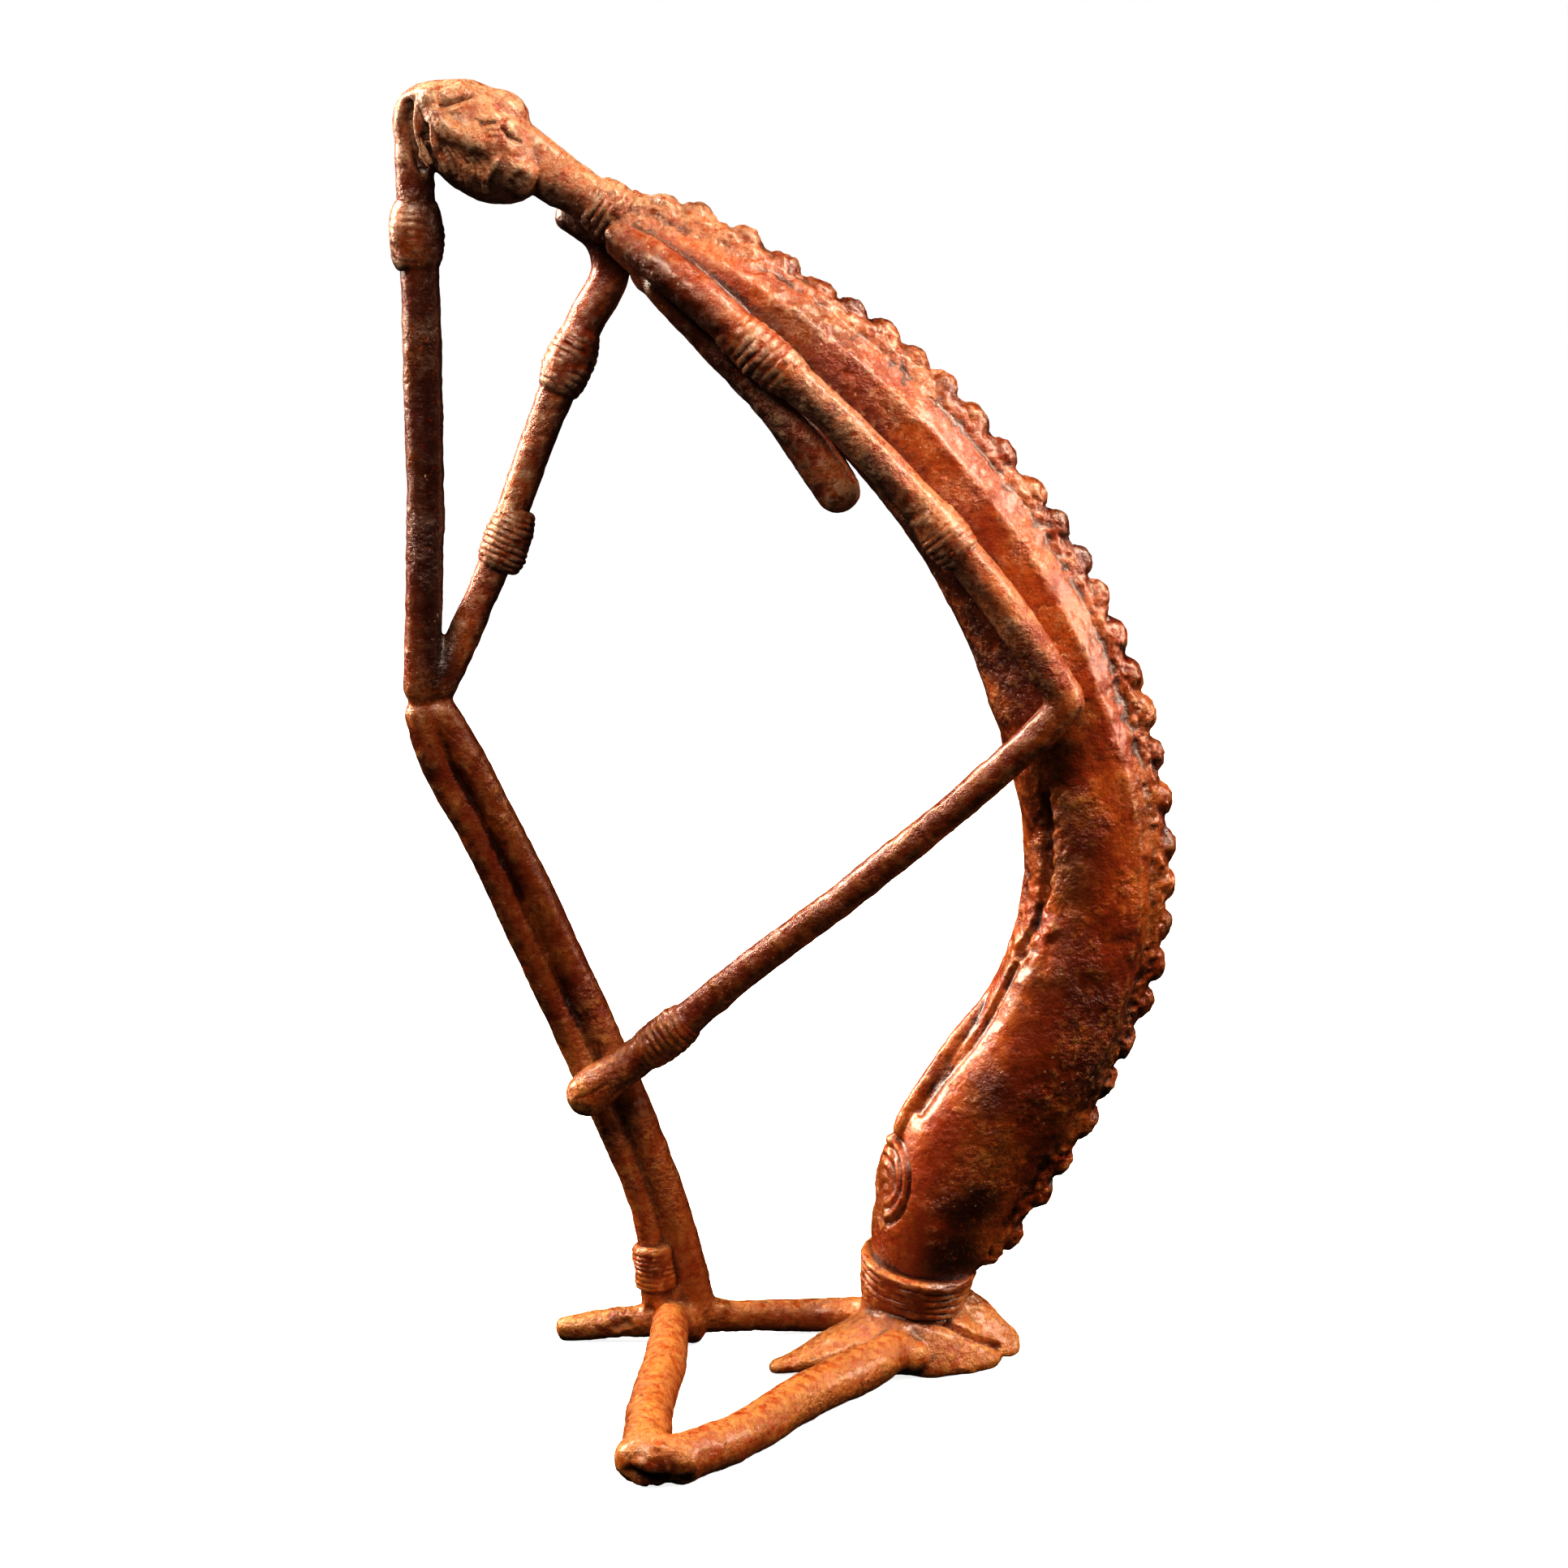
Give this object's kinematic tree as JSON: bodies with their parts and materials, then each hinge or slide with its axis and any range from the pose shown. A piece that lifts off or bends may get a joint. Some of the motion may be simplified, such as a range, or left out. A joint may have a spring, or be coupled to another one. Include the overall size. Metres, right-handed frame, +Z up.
{
  "type": "cast nommo figure",
  "caption": "Slender cast figure of a mythical water being with a long curved fish body, knobbed back crest, splayed tail fin and thin bent limbs, its head bowed into one hand.",
  "frame": {"origin": "on the ground, under the middle of the figure's bounding box", "axes": "+Z up; the figure faces -X, its crest is towards +X, and the leg that lies on the ground reaches to -Y"},
  "size_m": [0.1824, 0.1011, 0.3022],
  "materials": {
    "patinated_bronze": "red-brown earthy patina over cast copper alloy, satin where handled, crusted in the hollows"
  },
  "bodies": {
    "root": {"figure": "patinated_bronze"}
  },
  "joints": []
}
